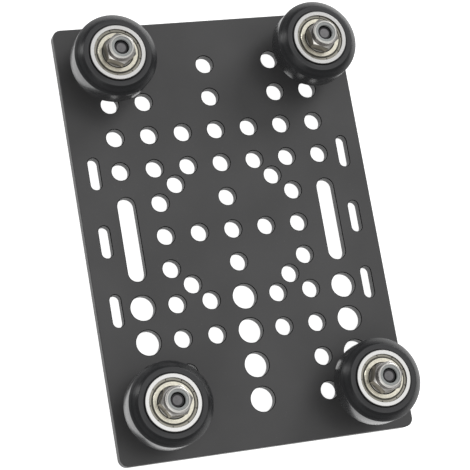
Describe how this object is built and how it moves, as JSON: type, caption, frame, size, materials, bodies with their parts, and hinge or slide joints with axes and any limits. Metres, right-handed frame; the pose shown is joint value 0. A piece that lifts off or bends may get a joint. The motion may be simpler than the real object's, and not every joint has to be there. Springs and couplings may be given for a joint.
{
  "type": "gantry plate",
  "caption": "Drilled flat plate with bevelled wheels on ball bearings, fixed on one end and eccentric on the other, that rolls along a V-groove rail.",
  "frame": {"origin": "under the plate's centre, in the plane that the four screw heads rest on", "axes": "+X across the rail, +Y along the travel towards the wheels on fixed spacers, +Z from the plate towards the wheels"},
  "size_m": [0.088, 0.127, 0.0271],
  "materials": {
    "black_anodised": "matt black anodised",
    "wheel_black": "turned black acetal, satin",
    "ring_steel": "ground bearing steel",
    "shield_steel": "pressed steel, pale and satin",
    "ball_steel": "polished",
    "cage_steel": "pressed steel",
    "nut_steel": "zinc plated, bright",
    "nut_nylon": "blue-grey nylon",
    "screw_steel": "plain steel, darkened",
    "spacer_aluminium": "turned, bare",
    "spacer_steel": "turned stainless"
  },
  "bodies": {
    "carriage": {"plate": "black_anodised", "top_left_spacer": "spacer_aluminium", "top_left_screw": "screw_steel", "top_left_shim": "ring_steel", "top_left_lock_nut": "nut_steel", "top_left_nut_insert": "nut_nylon", "top_left_lower_inner_ring": "ring_steel", "top_left_upper_inner_ring": "ring_steel", "top_right_spacer": "spacer_aluminium", "top_right_screw": "screw_steel", "top_right_shim": "ring_steel", "top_right_lock_nut": "nut_steel", "top_right_nut_insert": "nut_nylon", "top_right_lower_inner_ring": "ring_steel", "top_right_upper_inner_ring": "ring_steel"},
    "top_left_wheel_set": {"top_left_wheel": "wheel_black", "top_left_lower_outer_ring": "ring_steel", "top_left_upper_outer_ring": "ring_steel", "top_left_lower_shields": "shield_steel", "top_left_upper_shields": "shield_steel"},
    "top_left_ball_set": {"top_left_balls": "ball_steel", "top_left_ball_cages": "cage_steel"},
    "top_right_wheel_set": {"top_right_wheel": "wheel_black", "top_right_lower_outer_ring": "ring_steel", "top_right_upper_outer_ring": "ring_steel", "top_right_lower_shields": "shield_steel", "top_right_upper_shields": "shield_steel"},
    "top_right_ball_set": {"top_right_balls": "ball_steel", "top_right_ball_cages": "cage_steel"},
    "bottom_left_eccentric_set": {"bottom_left_eccentric_spacer": "spacer_steel", "bottom_left_screw": "screw_steel", "bottom_left_shim": "ring_steel", "bottom_left_lock_nut": "nut_steel", "bottom_left_nut_insert": "nut_nylon", "bottom_left_lower_inner_ring": "ring_steel", "bottom_left_upper_inner_ring": "ring_steel"},
    "bottom_left_wheel_set": {"bottom_left_wheel": "wheel_black", "bottom_left_lower_outer_ring": "ring_steel", "bottom_left_upper_outer_ring": "ring_steel", "bottom_left_lower_shields": "shield_steel", "bottom_left_upper_shields": "shield_steel"},
    "bottom_left_ball_set": {"bottom_left_balls": "ball_steel", "bottom_left_ball_cages": "cage_steel"},
    "bottom_right_eccentric_set": {"bottom_right_eccentric_spacer": "spacer_steel", "bottom_right_screw": "screw_steel", "bottom_right_shim": "ring_steel", "bottom_right_lock_nut": "nut_steel", "bottom_right_nut_insert": "nut_nylon", "bottom_right_lower_inner_ring": "ring_steel", "bottom_right_upper_inner_ring": "ring_steel"},
    "bottom_right_wheel_set": {"bottom_right_wheel": "wheel_black", "bottom_right_lower_outer_ring": "ring_steel", "bottom_right_upper_outer_ring": "ring_steel", "bottom_right_lower_shields": "shield_steel", "bottom_right_upper_shields": "shield_steel"},
    "bottom_right_ball_set": {"bottom_right_balls": "ball_steel", "bottom_right_ball_cages": "cage_steel"}
  },
  "joints": [
    {"name": "top_left_wheel_spin", "type": "hinge", "parent": "carriage", "child": "top_left_wheel_set", "pos_m": [-0.03045, 0.05, 0.01685], "axis": [0, 0, 1], "continuous": true},
    {"name": "top_left_ball_roll", "type": "hinge", "parent": "carriage", "child": "top_left_ball_set", "pos_m": [-0.03045, 0.05, 0.01685], "axis": [0, 0, 1], "continuous": true},
    {"name": "top_right_wheel_spin", "type": "hinge", "parent": "carriage", "child": "top_right_wheel_set", "pos_m": [0.03045, 0.05, 0.01685], "axis": [0, 0, 1], "continuous": true},
    {"name": "top_right_ball_roll", "type": "hinge", "parent": "carriage", "child": "top_right_ball_set", "pos_m": [0.03045, 0.05, 0.01685], "axis": [0, 0, 1], "continuous": true},
    {"name": "bottom_left_eccentric_turn", "type": "hinge", "parent": "carriage", "child": "bottom_left_eccentric_set", "pos_m": [-0.03045, -0.05, 0.0035], "axis": [0, 0, 1], "continuous": true},
    {"name": "bottom_left_wheel_spin", "type": "hinge", "parent": "bottom_left_eccentric_set", "child": "bottom_left_wheel_set", "pos_m": [-0.03115, -0.04964, 0.01685], "axis": [0, 0, 1], "continuous": true},
    {"name": "bottom_left_ball_roll", "type": "hinge", "parent": "bottom_left_eccentric_set", "child": "bottom_left_ball_set", "pos_m": [-0.03115, -0.04964, 0.01685], "axis": [0, 0, 1], "continuous": true},
    {"name": "bottom_right_eccentric_turn", "type": "hinge", "parent": "carriage", "child": "bottom_right_eccentric_set", "pos_m": [0.03045, -0.05, 0.0035], "axis": [0, 0, 1], "continuous": true},
    {"name": "bottom_right_wheel_spin", "type": "hinge", "parent": "bottom_right_eccentric_set", "child": "bottom_right_wheel_set", "pos_m": [0.03034, -0.05078, 0.01685], "axis": [0, 0, 1], "continuous": true},
    {"name": "bottom_right_ball_roll", "type": "hinge", "parent": "bottom_right_eccentric_set", "child": "bottom_right_ball_set", "pos_m": [0.03034, -0.05078, 0.01685], "axis": [0, 0, 1], "continuous": true}
  ],
  "couplings": [
    {"joint": "top_left_ball_roll", "follows": "top_left_wheel_spin", "ratio": 0.63095},
    {"joint": "top_right_ball_roll", "follows": "top_right_wheel_spin", "ratio": 0.63095},
    {"joint": "bottom_left_ball_roll", "follows": "bottom_left_wheel_spin", "ratio": 0.63095},
    {"joint": "bottom_right_ball_roll", "follows": "bottom_right_wheel_spin", "ratio": 0.63095}
  ]
}
